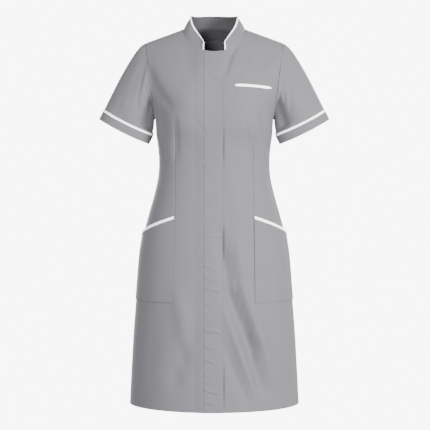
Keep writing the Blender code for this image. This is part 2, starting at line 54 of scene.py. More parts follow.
# How a solid's wall is read, and how its points are joined by curves
reading = {
    "doubles": 0.00001,      # points nearer than this are one point
    "wallSlack": 0.00002,    # an edge this near to the wall's thickness belongs to the rim
    "rimTurn": 1.2,          # in radians, how sharply a rim's face turns from a skin
    "straightOn": 0.64,      # a border turns a corner where its cosine falls below this
    "corner": 0.45,          # in radians, the turn from which a curve starts to keep its corner
    "cornerSpan": 0.45,      # and how much more turn makes that corner a full one
    "tooNear": 0.3,          # an even place this share of a step from an extra one is left out
}


def smoothShare(share):
    share = np.clip(share, 0.0, 1.0)
    return share * share * (3 - 2 * share)


# Reading a node: its wall of cloth is two grids of points, an outer and an inner one.
# The rim's faces each have an edge as long as the wall is thick, or turn sharply from both skins.
# What is left falls into skins, and the two largest are the outer and the inner one.
def skinsOf(mesh, thickness):
    rim = set()
    if thickness:
        for edge in mesh.edges:
            if abs(edge.calc_length() - thickness) < reading["wallSlack"]:
                rim.update(face.index for face in edge.link_faces)
    seen = set(rim)
    groups = []
    for face in mesh.faces:
        if face.index in seen:
            continue
        seen.add(face.index)
        stack, members = [face], []
        while stack:
            here = stack.pop()
            members.append(here)
            for edge in here.edges:
                if edge.calc_face_angle() > reading["rimTurn"] and not thickness:
                    continue
                for other in edge.link_faces:
                    if other.index not in seen:
                        seen.add(other.index)
                        stack.append(other)
        groups.append(members)
    groups.sort(key=lambda members: -sum(face.calc_area() for face in members))
    return groups[:2]


def walkGrid(places, third, corner, beside, tube):
    # Rows of corner numbers, from the row at the corner place that runs towards the beside place
    border = {}
    for a, b in third:
        if (b, a) not in third:
            border.setdefault(a, []).append(b)
            border.setdefault(b, []).append(a)

    def nearest(place, among):
        return min(among, key=lambda k: float(np.linalg.norm(places[k] - np.array(place))))

    first = nearest(corner, border)
    row = [first, nearest(beside, border[first])]
    ring = False
    while True:
        here, last = row[-1], row[-2]
        onward = [other for other in border[here] if other != last][0]
        if onward == first:
            ring = True
            break
        run, turned = places[here] - places[last], places[onward] - places[here]
        lengths = np.linalg.norm(run) * np.linalg.norm(turned)
        if not tube and run.dot(turned) < reading["straightOn"] * lengths:
            break
        row.append(onward)
    ahead = (row[0], row[1]) in third

    def beyond(a, b):
        return third.get((a, b) if ahead else (b, a))

    rows = [row]
    while beyond(rows[-1][0], rows[-1][1]) is not None:
        row = rows[-1]
        before = rows[-2] if len(rows) > 1 else []
        if ring:
            around = {b for a, b in third if a == row[0]} | {a for a, b in third if b == row[0]}
            around -= set(row) | set(before)
            new = [min(around, key=lambda k: abs(places[k][1] - places[row[0]][1]))]
        else:
            new = [other for other in border[row[0]] if other != row[1] and other not in before]
        for j in range(len(row) if ring else len(row) - 1):
            following = row[(j + 1) % len(row)]
            point = beyond(row[j], following)
            if point == new[-1]:
                point = beyond(new[-1], following)
            new.append(point)
        rows.append(new[:-1] if ring else new)
    return np.array([[places[k] for k in row] for row in rows]), ring


def readSkins(nodeName, corner, beside, thickness=None, tube=False):
    # corner is a place just outside the outer skin's first corner, and its first row runs towards beside
    mesh = bmesh.new()
    mesh.from_mesh(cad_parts[nodeName].data)
    bmesh.ops.remove_doubles(mesh, verts=mesh.verts, dist=reading["doubles"])
    mesh.verts.ensure_lookup_table()
    mesh.verts.index_update()
    mesh.faces.index_update()
    mesh.normal_update()
    places = np.array([vert.co for vert in mesh.verts])
    thirds = []
    for faces in skinsOf(mesh, thickness):
        third = {}
        for face in faces:
            a, b, c = (vert.index for vert in face.verts)
            third[a, b], third[b, c], third[c, a] = c, a, b
        thirds.append(third)
    mesh.free()

    def reach(third):
        border = [a for a, b in third if (b, a) not in third]
        return min(float(np.linalg.norm(places[a] - np.array(corner))) for a in border)

    thirds.sort(key=reach)
    outer, ring = walkGrid(places, thirds[0], corner, beside, tube)
    inner, ring = walkGrid(places, thirds[1], outer[0, 0], outer[0, 1], tube)
    if outer.shape != inner.shape:
        raise RuntimeError(f"{nodeName}: skins {outer.shape} and {inner.shape} differ")
    return outer, inner, ring


# Making a grid finer with curves through its points, which keep a corner where the edge has one
def refine(points, knots, at, ring=False, corner=reading["corner"]):
    if ring:
        length = knots[-1]
        points = np.concatenate([points[-2:], points, points[:3]])
        knots = np.concatenate([knots[-3:-1] - length, knots[:-1], knots[:3] + length])
    steps = np.diff(knots)
    shape = (-1,) + (1,) * (points.ndim - 1)
    if len(steps) == 1:
        share = (at / steps[0]).reshape(shape)
        return points[:1] * (1 - share) + points[1:] * share
    runs = np.diff(points, axis=0) / steps.reshape(shape)
    before, after = steps[:-1].reshape(shape), steps[1:].reshape(shape)
    middle = (runs[:-1] * after + runs[1:] * before) / (before + after)
    first = runs[:1] * 1.5 - middle[:1] * 0.5
    last = runs[-1:] * 1.5 - middle[-1:] * 0.5
    slopes = np.concatenate([first, middle, last])
    norms = np.linalg.norm(runs, axis=-1, keepdims=True) + 1e-12
    cosine = np.sum(runs[:-1] * runs[1:], axis=-1, keepdims=True) / (norms[:-1] * norms[1:])
    turn = np.arccos(np.clip(cosine, -1, 1))
    kept = smoothShare((turn - corner) / reading["cornerSpan"])
    kink = np.concatenate([turn[:1] * 0, kept, turn[:1] * 0])
    leaving = slopes[:-1] + (runs - slopes[:-1]) * kink[:-1]
    arriving = slopes[1:] + (runs - slopes[1:]) * kink[1:]
    cell = np.clip(np.searchsorted(knots, at, side="right") - 1, 0, len(steps) - 1)
    share = ((at - knots[cell]) / steps[cell]).reshape(shape)
    span = steps[cell].reshape(shape)
    start, end = points[cell], points[cell + 1]
    return (
        start * (2 * share**3 - 3 * share**2 + 1) + leaving[cell] * span * (share**3 - 2 * share**2 + share)
        + end * (3 * share**2 - 2 * share**3) + arriving[cell] * span * (share**3 - share**2)
    )


def knotsOf(grid, axis, ring=False):
    if ring:
        grid = np.concatenate([grid, grid[:, :1]], axis=1)
    lengths = np.linalg.norm(np.diff(grid, axis=axis), axis=-1).mean(axis=1 - axis)
    return np.concatenate([[0.0], np.cumsum(lengths)])


def placesAlong(knots, step, extra=()):
    # Even places a step apart, with extra ones where a groove needs them
    count = max(int(math.ceil(knots[-1] / step)), 2)
    even = np.linspace(0.0, knots[-1], count + 1)
    if not len(extra):
        return even
    near = step * reading["tooNear"]
    kept = {place for place in even if min(abs(place - other) for other in extra) > near}
    kept |= {even[0], even[-1]} | {other for other in extra if 0 < other < knots[-1]}
    return np.array(sorted(kept))


def fineSkins(skins, rowStep, columnStep, ring=False, extraColumns=(), wall=1.0, corner=reading["corner"]):
    # wall is the share of the solid's thickness that the shell keeps
    outer, inner = skins
    rowKnots, columnKnots = knotsOf(outer, 0), knotsOf(outer, 1, ring)
    rowPlaces = placesAlong(rowKnots, rowStep)
    extra = [columnKnots[column] + off for column, off in extraColumns]
    columnPlaces = placesAlong(columnKnots, columnStep, extra)
    if ring:
        columnPlaces = columnPlaces[:-1]
    fine = []
    for grid in (outer, inner):
        grid = refine(grid, rowKnots, rowPlaces)
        fine.append(refine(grid.swapaxes(0, 1), columnKnots, columnPlaces, ring, corner).swapaxes(0, 1))
    fine[1] = fine[0] + (fine[1] - fine[0]) * wall
    return fine


# Creases run from start to end over x and z, in millimetres. A plus height is a ridge, a minus one a trough,
# sway bends the line sideways in the middle, and sharp is how much steeper the flank at the run's left is,
# as seen from the front.
creaseShape = {
    "tail": 1.5,             # a crease fades past its ends over this many widths
    "endHeight": 0.35,       # its height there, as a share of the middle's
    "flankTurn": 2,          # how fast one flank's width turns into the other's across the line
}


def creaseHeight(x, z, rows):
    total = np.zeros_like(x)
    for startX, startZ, endX, endZ, width, height, sway, sharp in rows:
        startX, startZ, endX, endZ, width, height, sway = (
            value / 1000 for value in (startX, startZ, endX, endZ, width, height, sway))
        runX, runZ = endX - startX, endZ - startZ
        length = math.hypot(runX, runZ)
        along = ((x - startX) * runX + (z - startZ) * runZ) / length
        across = ((x - startX) * runZ - (z - startZ) * runX) / length
        share = np.clip(along / length, 0.0, 1.0)
        across = across - sway * np.sin(math.pi * share)
        past = np.maximum(np.maximum(-along, along - length), 0.0)
        flank = width * (1 + sharp * np.tanh(across / width * creaseShape["flankTurn"]))
        reach = np.hypot(across / flank, past / (width * creaseShape["tail"]))
        rise = np.sin(math.pi * np.clip((along + width) / (length + 2 * width), 0, 1))
        body = creaseShape["endHeight"] + (1 - creaseShape["endHeight"]) * rise
        total += height * np.exp(-reach * reach) * body
    return total


frontCreases = (
    # startX, startZ, endX, endZ, width, height, sway, sharp
    # the long drag line from the fly to the hem, and the rolls beside it
    (36, -530, 66, -690, 14, 5.0, 0, 0.0),
    (60, -655, 116, -895, 15, 6.5, 0, 0.0),
    (15, -545, 40, -700, 15, -9.5, 0, 0.0),
    (37, -690, 85, -822, 15, -13.5, 0, 0.0),
    (82, -808, 122, -940, 15, -12.5, 2, 0.0),
    (57, -560, 80, -705, 15, 6.5, 0, 0.0),
    (77, -692, 122, -822, 15, 9.5, 0, 0.0),
    (120, -808, 156, -925, 15, 8.5, 0, 0.0),
    (34, -752, 108, -948, 11, 4.2, 2, 0.0),
    (24, -822, 80, -958, 9, -3.2, 2, 0.2),
    (24, -380, 30, -470, 10, -1.2, 2, 0.0),
    (60, -400, 52, -480, 14, 1.2, 2, 0.0),
    # the skirt at the wearer's right
    (-44, -785, -126, -890, 26, -2.2, 4, 0.0),
    (-96, -690, -62, -840, 20, 2.6, 4, 0.0),
    (-37, -70, -37.5, -992, 7, -0.85, 0, 0.0),
    (-150, -760, -166, -960, 22, -1.8, 4, 0.0),
    # under the bust
    (-136, -226, -133, -356, 9, -6.0, 3, 0.1),
    (-101, -246, -100, -345, 8, -2.8, -2, 0.0),
    (84, -254, 102, -370, 8, -4.4, 3, 0.1),
    (124, -228, 145, -326, 8, -5.6, 3, 0.1),
    (110, -296, 134, -370, 7, -4.2, 2, 0.1),
    (134, -250, 150, -300, 6, 1.2, 2, 0.0),
    # shoulders and chest
    (-172, -112, -122, -204, 13, -5.0, 6, 0.1),
    (-122, -204, -78, -222, 14, -1.4, 3, 0.0),
    (58, -48, 27, -132, 9, -6.0, 2, 0.3),
    (172, -66, 122, -150, 10, 2.0, 2, 0.0),
    (150, -56, 96, -140, 12, -1.6, 2, 0.0),
    (-60, -60, -86, -150, 18, -1.2, -3, 0.0),
    (-50, -246, -24, -276, 5, -1.3, 2, 0.3),
    (-24, -276, 18, -279, 5, -1.2, 0, 0.3),
    (-20, -121, 16, -156, 4.5, -1.2, 1, 0.2),
    # pulls at the ends of the chest welt
    (54, -166, 53, -184, 3.6, -1.2, 0, 0.0),
    (146, -171, 148, -188, 3.6, -1.2, 0, 0.0),
    # the shadow gap beside the fly's free edge
    (23.5, -86, 23.5, -990, 1.8, -0.7, 0.6, 0.0),
    (23.5, -268, 23.5, -366, 2.4, -3.0, 0.4, 0.0),
    (23.5, -514, 23.8, -612, 2.4, -2.8, 0.5, 0.0),
    (23.8, -872, 23.5, -985, 2.4, -3.2, 0.4, 0.0),
)

backCreases = (
    (-120, -262, -128, -360, 9, -2.2, 3, 0.2),
    (122, -250, 134, -350, 9, -2.1, -3, 0.2),
    (-70, -352, 10, -372, 12, -1.9, 5, 0.2),
    (15, -396, 92, -384, 12, -1.7, -4, 0.2),
    (-84, -414, -20, -420, 10, -1.3, 4, 0.2),
    (-150, -110, -92, -190, 14, -2.2, 4, 0.1),
    (148, -120, 96, -196, 14, -2.0, -4, 0.1),
    (-40, -90, -50, -230, 20, -1.4, 3, 0.0),
    (46, -96, 38, -236, 20, -1.4, 3, 0.0),
    (-56, -520, -104, -930, 18, -2.8, 6, 0.1),
    (48, -560, 92, -950, 18, -2.6, -5, 0.1),
    (-8, -560, -24, -950, 24, 2.2, 4, 0.0),
    (-150, -560, -170, -900, 26, -2.4, 6, 0.0),
    (140, -540, 168, -920, 26, -2.6, -6, 0.0),
)


def bodyWay(points):
    # The level way out of the cloth, which every layer of the body shares
    way = points * np.array([cloth["sideShare"], 1.0, 0.0])
    return way / (np.linalg.norm(way, axis=-1, keepdims=True) + 1e-9)


def creaseBody(skins, fade=None):
    outer, inner = skins
    x, y, z = outer[..., 0], outer[..., 1], outer[..., 2]
    height = np.where(y < 0, creaseHeight(x, z, frontCreases), creaseHeight(x, z, backCreases))
    height = height * smoothShare(np.abs(y) / cloth["sideFade"])
    if fade is not None:
        height = height * fade
    move = bodyWay(outer) * height[..., None]
    return [outer + move, inner + move]


def closeSeams(skins):
    # The solids stand a little apart at the side and back seams, which sewing closes
    closed = []
    for grid in skins:
        grid = grid.copy()
        side = np.abs(grid[..., 1]) < cloth["sideGap"]
        back = (np.abs(grid[..., 0]) < cloth["backGap"]) & (grid[..., 1] > 0)
        grid[side, 1] = 0.0
        grid[back, 0] = 0.0
        closed.append(grid)
    return closed


def sinkDart(skins, coarse, column, extra, dart):
    # A dart's stitched line sinks along one column, and fades at both ends
    knots = knotsOf(coarse[0], 1)
    places = placesAlong(knots, fineness["column"], [knots[column] + off for off in extra])
    off = (places - knots[column])[None, :] / dart["width"]
    z = skins[0][..., 2]
    fade = smoothShare((dart["top"] - z) / dart["topFade"])
    fade = fade * smoothShare((z - dart["bottom"]) / dart["endFade"])
    depth = -dart["depth"] * np.exp(-off * off) * fade
    move = bodyWay(skins[0]) * depth[..., None]
    return [skins[0] + move, skins[1] + move]


def fadeFromTop(grid):
    steps = np.linalg.norm(np.diff(grid, axis=0), axis=-1)
    fromTop = np.concatenate([np.cumsum(steps[::-1], axis=0)[::-1], np.zeros((1, grid.shape[1]))])
    return smoothShare(fromTop / cloth["seamFade"])


# From two fine grids to a thin closed shell, with a UV map in metres of cloth
def sewPiece(name, skins, ring, nodeName):
    outer, inner = skins
    rows, columns = outer.shape[:2]
    wraps = columns if ring else columns - 1
    points = np.concatenate([outer.reshape(-1, 3), inner.reshape(-1, 3)])
    index = np.arange(rows * columns).reshape(rows, columns)
    left = index[:, :wraps]
    right = np.roll(index, -1, axis=1)[:, :wraps]
    skin = np.stack([left[:-1], right[:-1], right[1:], left[1:]], axis=-1).reshape(-1, 4)
    under = skin[:, ::-1] + rows * columns
    faces = [skin, under]
    for i, turned in ((0, False), (rows - 1, True)):
        edge = np.stack([left[i], right[i], right[i] + rows * columns, left[i] + rows * columns], axis=-1)
        faces.append(edge if turned else edge[:, ::-1])
    if not ring:
        for j, turned in ((0, True), (columns - 1, False)):
            lower, upper = index[:-1, j], index[1:, j]
            edge = np.stack([lower, upper, upper + rows * columns, lower + rows * columns], axis=-1)
            faces.append(edge if turned else edge[:, ::-1])
    faces = np.concatenate(faces)
    mesh = bpy.data.meshes.new(name)
    mesh.from_pydata(points.tolist(), [], faces.tolist())
    piece = bpy.data.objects.new(name, mesh)
    bpy.context.collection.objects.link(piece)
    across = np.linalg.norm(np.diff(outer, axis=1, append=outer[:, :1]), axis=-1)
    u = np.concatenate([np.zeros((rows, 1)), np.cumsum(across, axis=1)], axis=1)
    u = u - u[:, columns // 2: columns // 2 + 1]
    v = np.concatenate([[0.0], np.cumsum(np.linalg.norm(np.diff(outer, axis=0), axis=-1).mean(axis=1))])
    # Marks the inner skin for painted shade: the materials darken it, standing for the shade inside the neck
    # and collar
    paintedShadeMask = mesh.attributes.new("paintedInnerShade", "FLOAT", "POINT")
    paintedShadeMask.data.foreach_set("value", np.repeat([0.0, 1.0], rows * columns))
    layer = mesh.uv_layers.new(name="cloth")
    corner = np.empty(len(mesh.loops), np.int32)
    mesh.loops.foreach_get("vertex_index", corner)
    row, column = (corner % (rows * columns)) // columns, corner % columns
    if ring:
        group = column.reshape(-1, 4)
        seam = (group.max(axis=1) == columns - 1) & (group.min(axis=1) == 0)
        group[seam] = np.where(group[seam] == 0, columns, group[seam])
        column = group.reshape(-1)
    uv = np.stack([u[row, column], v[row]], axis=-1)
    layer.data.foreach_set("uv", uv.reshape(-1).astype(np.float32))
    fixNormals(piece)
    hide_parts(nodeName)
    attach(piece, "root")
    return piece


def fixNormals(piece):
    work = bmesh.new()
    work.from_mesh(piece.data)
    bmesh.ops.recalc_face_normals(work, faces=work.faces)
    work.to_mesh(piece.data)
    work.free()
    piece.data.shade_smooth()
    piece.data.set_sharp_from_angle(angle=math.radians(cloth["sharpTurn"]))


# Materials
def linearColour(hexValue):
    values = [int(hexValue[i:i + 2], 16) / 255 for i in (1, 3, 5)]
    linear = [value / 12.92 if value <= 0.04045 else ((value + 0.055) / 1.055) ** 2.4 for value in values]
    return (*linear, 1.0)


def addNode(tree, kind, settings=None, links=None):
    node = tree.nodes.new(kind)
    for key, value in (settings or {}).items():
        if isinstance(key, int) or key in node.inputs:
            node.inputs[key].default_value = value
        else:
            setattr(node, key, value)
    for key, source in (links or {}).items():
        tree.links.new(source, node.inputs[key])
    return node


# Polyester and cotton twill, piece dyed and pressed: matt, with a fine diagonal rib and thin slubs
# along the threads. The real rib is 0.5 mm, drawn at 1.6 mm so that it shows as grain.
greyTwill = {
    "dark": "#525155", "light": "#58575b", "rib": 1.6, "slubLong": 26.0, "slubShort": 1.6, "patch": 55.0,
    # paintedInnerShade is how dark the inner skin is drawn: painted shade for the shade inside the neck and
    # collar
    "roughness": 0.86, "sheen": 0.12, "bump": 0.08, "paintedInnerShade": 0.44,
}

# The facing inside the neck is the same twill, drawn darker as painted shade for the shade inside the neck,
# as it reads in the photo
shadedNeckTwill = dict(greyTwill, dark="#454448", light="#4a494d")

# White plain weave binding, tightly woven, so a little smoother and brighter than the body. Its threads are
# drawn at 1.2 mm, coarser than they are.
whiteBinding = {
    "dark": "#f2f2f3", "light": "#fdfdfd", "rib": 1.2, "slubLong": 9.0, "slubShort": 1.2, "patch": 30.0,
    "roughness": 0.7, "sheen": 0.05, "bump": 0.06, "paintedInnerShade": 1.0,
}

# What all three have in common: how the rib slants, and how rib, slubs and patches add up to one tone
weave = {"ribTurn": 63, "ribShare": 0.35, "patchShare": 0.5, "darkest": 0.8, "lightest": 2.0}


def clothMaterial(name, look):
    material = bpy.data.materials.new(name)
    material.use_nodes = True
    tree = material.node_tree
    shader = tree.nodes["Principled BSDF"]
    shader.inputs["Roughness"].default_value = look["roughness"]
    shader.inputs["Sheen Weight"].default_value = look["sheen"]
    shader.inputs["Sheen Roughness"].default_value = 0.45
    shader.inputs["Specular IOR Level"].default_value = 0.3
    threads = addNode(tree, "ShaderNodeUVMap", {"uv_map": "cloth"}).outputs["UV"]
    slant = (0, 0, math.radians(weave["ribTurn"]))
    turned = addNode(tree, "ShaderNodeMapping", {"Rotation": slant}, {"Vector": threads})
    rib = addNode(tree, "ShaderNodeTexWave", {
        "Scale": 1000 / look["rib"] / math.pi / 2, "Distortion": 1.2, "Detail": 1.0, "Detail Scale": 2.0},
        {"Vector": turned.outputs["Vector"]})
    long, short = 1000 / look["slubLong"], 1000 / look["slubShort"]
    slubs = []
    for scale in ((short, long, 1), (long, short, 1)):
        drawn = addNode(tree, "ShaderNodeMapping", {"Scale": scale}, {"Vector": threads})
        slubs.append(addNode(tree, "ShaderNodeTexNoise", {"Scale": 1.0, "Detail": 2.0},
                             {"Vector": drawn.outputs["Vector"]}))
    patch = addNode(tree, "ShaderNodeTexNoise", {"Scale": 1000 / look["patch"], "Detail": 3.0},
                    {"Vector": threads})
    bothSlubs = addNode(tree, "ShaderNodeMath", {"operation": "ADD"},
                        {0: slubs[0].outputs["Fac"], 1: slubs[1].outputs["Fac"]})
    grain = addNode(tree, "ShaderNodeMath", {"operation": "MULTIPLY_ADD", 1: weave["ribShare"]},
                    {0: rib.outputs["Fac"], 2: bothSlubs.outputs[0]})
    tone = addNode(tree, "ShaderNodeMath", {"operation": "MULTIPLY_ADD", 1: weave["patchShare"]},
                   {0: patch.outputs["Fac"], 2: grain.outputs[0]})
    share = addNode(tree, "ShaderNodeMapRange", {"From Min": weave["darkest"], "From Max": weave["lightest"]},
                    {"Value": tone.outputs[0]})
    colour = addNode(tree, "ShaderNodeMix", {"data_type": "RGBA"}, {0: share.outputs["Result"]})
    colour.inputs[6].default_value = linearColour(look["dark"])
    colour.inputs[7].default_value = linearColour(look["light"])
    # Painted shade: the inner skin's colour is scaled down by the look's paintedInnerShade factor, standing
    # for the shade inside the neck and collar
    side = addNode(tree, "ShaderNodeAttribute", {"attribute_name": "paintedInnerShade"})
    paintedShadeFactor = addNode(tree, "ShaderNodeMapRange", {"To Min": 1.0, "To Max": look["paintedInnerShade"]},
                   {"Value": side.outputs["Fac"]})
    paintedShadeColour = addNode(tree, "ShaderNodeVectorMath", {"operation": "SCALE"},
                   {0: colour.outputs[2], "Scale": paintedShadeFactor.outputs["Result"]})
    tree.links.new(paintedShadeColour.outputs["Vector"], shader.inputs["Base Color"])
    bump = addNode(tree, "ShaderNodeBump", {"Strength": look["bump"], "Distance": 0.0005},
                   {"Height": grain.outputs[0]})
    tree.links.new(bump.outputs["Normal"], shader.inputs["Normal"])
    return material


twill = clothMaterial("piece dyed twill", greyTwill)
binding = clothMaterial("white plain weave binding", whiteBinding)
shadedNeckCloth = clothMaterial("twill of the neck facing with painted shade", shadedNeckTwill)
print("Materials made")


def dressPiece(piece, material):
    piece.data.materials.append(material)


# The four body panels, each from its hem up to neck, shoulder and armhole. dart is the column of the solid's
# points that the dart line follows.
panels = {
    "rightFront": {"node": "front_right", "corner": (-0.027, -0.3, -1.05), "beside": (-0.1, -0.16, -1.0),
                   "dart": 7, "flat": (0.30, 1.03), "area": 0.262},
    "leftFront": {"node": "front_left", "corner": (0.0, -0.155, -1.02), "beside": (0.03, -0.16, -1.0),
                  "dart": 8, "flat": (0.32, 1.03), "area": 0.275},
    "rightBack": {"node": "back_right", "corner": (0.0, 0.3, -1.05), "beside": (-0.06, 0.155, -1.0),
                  "dart": 7, "flat": (0.30, 1.04), "area": 0.268},
    "leftBack": {"node": "back_left", "corner": (0.0, 0.3, -1.05), "beside": (0.06, 0.155, -1.0),
                 "dart": 7, "flat": (0.30, 1.04), "area": 0.268},
}
fineness = {
    # the fine grid's steps, the solid's wall and the share of it that the shell keeps
    "row": 0.005, "column": 0.0034, "wall": 0.0016, "wallKept": 0.7,
    # extra columns at the dart line, and beside the fly's free edge
    "groove": (-0.0024, -0.0014, -0.0007, 0.0, 0.0007, 0.0014, 0.0024),
    "edge": (0.0058, 0.0066, 0.0074, 0.0082, 0.0090, 0.0098, 0.0108),
}
darts = {"width": 0.0011, "depth": 0.0015, "top": -0.238, "topFade": 0.06, "bottom": -0.499, "endFade": 0.004}
outerGrids = {}
for name, sizes in panels.items():
    outer, inner, ring = readSkins(sizes["node"], sizes["corner"], sizes["beside"], fineness["wall"])
    if np.mean(np.sum((outer - inner) * bodyWay(outer), axis=-1)) < 0:
        outer, inner = inner, outer
    knots = knotsOf(outer, 1)
    extra = [(sizes["dart"], off) for off in fineness["groove"]]
    if name == "leftFront":
        extra += [(0, off) for off in fineness["edge"]]
    skins = fineSkins(
        (outer, inner), fineness["row"], fineness["column"], extraColumns=extra, wall=fineness["wallKept"])
    offs = [knots[column] + off - knots[sizes["dart"]] for column, off in extra]
    skins = sinkDart(skins, (outer, inner), sizes["dart"], offs, darts)
    skins = creaseBody(closeSeams(skins), fadeFromTop(skins[0]))
    outerGrids[name] = skins[0]
    piece = sewPiece(name, skins, ring, sizes["node"])
    dressPiece(piece, twill)
    print(name, outer.shape, skins[0].shape)
print("Panels sewn")


# The button stand, which lies hidden under the fly
standSizes = {"node": "button_stand", "corner": (-0.05, -0.2, -1.02), "beside": (-0.01, -0.16, -1.0),
              "row": 0.008, "column": 0.0045, "flat": (0.044, 0.95)}
outer, inner, ring = readSkins(standSizes["node"], standSizes["corner"], standSizes["beside"])
skins = fineSkins((outer, inner), standSizes["row"], standSizes["column"])
skins = creaseBody(skins, fadeFromTop(skins[0]))
piece = sewPiece("buttonStand", skins, ring, standSizes["node"])
dressPiece(piece, twill)


# The fly strip, with the short slanting puckers that its stitching draws up
placketSizes = {"node": "placket", "corner": (-0.03, -0.3, -1.05), "beside": (0.0, -0.16, -1.0),
                "row": 0.0016, "column": 0.0016, "flat": (0.048, 0.95)}
puckers = (
    # z, slant, height, start and end from the sewn side, width, bend, all in millimetres
    (-279, -3, 0.9, 4, 44, 4.6, 1.0), (-331, 5, 0.8, 0, 16, 4.0, 2.0), (-336, -4, 0.5, 22, 40, 4.0, -1.0),
    (-364, -5, 1.0, 0, 24, 4.2, -2.0), (-388, 7, 0.8, 0, 14, 3.4, 1.5), (-399, -6, 0.5, 14, 34, 4.0, 1.0),
    (-418, -8, 0.8, 0, 18, 3.4, 2.0), (-455, 5, 0.9, 0, 21, 4.0, -1.5), (-472, -5, 0.5, 10, 30, 3.4, 1.0),
    (-495, -7, 0.8, 0, 15, 4.0, 1.5), (-519, 6, 0.7, 0, 17, 3.6, 1.0),
    (-544, -3, 1.3, 0, 45, 4.6, 2.0), (-584, -5, 0.9, 0, 20, 4.4, -1.5), (-607, 4, 0.5, 14, 34, 4.0, 1.0),
    (-621, -8, 1.1, 0, 25, 4.0, 1.5), (-649, -7, 1.2, 0, 30, 4.2, -2.0), (-663, 5, 0.6, 0, 13, 3.4, 1.0),
    (-678, -9, 1.4, 0, 40, 4.2, 2.0), (-719, -6, 1.1, 0, 22, 4.2, 2.0),
    (-752, -4, 0.9, 0, 17, 4.0, -1.5), (-768, 6, 0.5, 14, 32, 4.0, 1.0), (-785, -7, 1.3, 0, 43, 4.2, 2.0),
    (-824, -5, 1.2, 0, 26, 4.6, -2.0), (-841, 6, 0.6, 0, 14, 3.4, 1.0), (-862, -8, 1.1, 0, 30, 4.0, 2.0),
    (-899, -5, 0.9, 0, 19, 4.2, 1.5), (-923, 7, 0.7, 0, 16, 3.4, 1.0),
    (-936, -8, 1.2, 0, 41, 4.2, -2.0), (-969, -4, 1.0, 0, 27, 4.0, 1.5),
)

puckerSizes = {
    # the sewn side's x and the free edge's distance from it, in millimetres
    "sewnSide": -26, "freeEdge": 46.5,
    # how a pucker starts and ends along its run, and what is left of it at the strip's long edges
    "lead": 3, "startFade": 6, "endFade": 12, "keptAtEnd": 0.4,
    "edgeFade": 3, "keptAtSewn": 0.3, "keptAtFree": 0.4,
    # the dip beside it as a share of its height, how many widths below it lies, and the inner skin's share
    "dipShare": 0.45, "dipBelow": 1.7, "innerShare": 0.5,
}


def puckerPlacket(skins):
    outer, inner = skins
    x, z = outer[..., 0] * 1000 - puckerSizes["sewnSide"], outer[..., 2] * 1000
    sewn = smoothShare(x / puckerSizes["edgeFade"] + puckerSizes["keptAtSewn"])
    free = smoothShare((puckerSizes["freeEdge"] - x) / puckerSizes["edgeFade"] + puckerSizes["keptAtFree"])
    height = np.zeros_like(x)
    for level, slant, rise, start, end, width, bend in puckers:
        share = np.clip((x - start) / (end - start), 0.0, 1.0)
        across = z - level - slant * share - bend * np.sin(math.pi * share)
        begun = smoothShare((x - start + puckerSizes["lead"]) / puckerSizes["startFade"])
        lasting = smoothShare((end - x) / puckerSizes["endFade"] + puckerSizes["keptAtEnd"])
        fade = begun * lasting * (sewn * free)
        below = across + puckerSizes["dipBelow"] * width
        height += rise * np.exp(-(across / width) ** 2) * fade
        height -= puckerSizes["dipShare"] * rise * np.exp(-(below / width) ** 2) * fade
    move = bodyWay(outer) * (height / 1000)[..., None]
    return [outer + move, inner + move * puckerSizes["innerShare"]]


outer, inner, ring = readSkins(placketSizes["node"], placketSizes["corner"], placketSizes["beside"])
skins = fineSkins((outer, inner), placketSizes["row"], placketSizes["column"])
skins = puckerPlacket(creaseBody(skins, fadeFromTop(skins[0])))
outerGrids["flyStrip"] = skins[0]
piece = sewPiece("flyStrip", skins, ring, placketSizes["node"])
dressPiece(piece, twill)
print("Fly strip sewn", skins[0].shape)


# Pockets, their white bands and the chest welt, which lie on the fronts and follow their creases
laidPieces = {
    "rightHipPocket": {
        "node": "hip_pocket_right", "corner": (-0.10, -0.3, -0.76), "beside": (-0.14, -0.12, -0.72),
        "flat": (0.155, 0.225), "area": 0.031, "row": 0.005, "cloth": twill, "on": "rightFront",
        "held": "hung"},
    "leftHipPocket": {
        "node": "hip_pocket_left", "corner": (0.10, -0.3, -0.76), "beside": (0.14, -0.12, -0.72),
        "flat": (0.155, 0.225), "area": 0.031, "row": 0.005, "cloth": twill, "on": "leftFront",
        "held": "hung"},
    "rightHipBand": {
        "node": "hip_pocket_trim_right", "corner": (-0.10, -0.3, -0.54), "beside": (-0.14, -0.12, -0.51),
        "flat": (0.155, 0.0102), "area": 0.0011, "row": 0.0018, "cloth": binding, "on": "rightHipPocket",
        "held": "stretched"},
    "leftHipBand": {
        "node": "hip_pocket_trim_left", "corner": (0.10, -0.3, -0.54), "beside": (0.14, -0.12, -0.51),
        "flat": (0.155, 0.0102), "area": 0.0011, "row": 0.0018, "cloth": binding, "on": "leftHipPocket",
        "held": "stretched"},
    "chestWelt": {
        "node": "chest_pocket_welt", "corner": (0.05, -0.3, -0.12), "beside": (0.08, -0.12, -0.153),
        "flat": (0.096, 0.0102), "area": 0.00062, "row": 0.0018, "cloth": binding, "on": "leftFront",
        "held": "stretched"},
}
for name, sizes in laidPieces.items():
    outer, inner, ring = readSkins(sizes["node"], sizes["corner"], sizes["beside"])
    skins = creaseBody(fineSkins((outer, inner), sizes["row"], fineness["column"]))
    outerGrids[name] = skins[0]
    piece = sewPiece(name, skins, ring, sizes["node"])
    dressPiece(piece, sizes["cloth"])
    print(name, outer.shape, skins[0].shape)
print("Pockets and welt sewn")


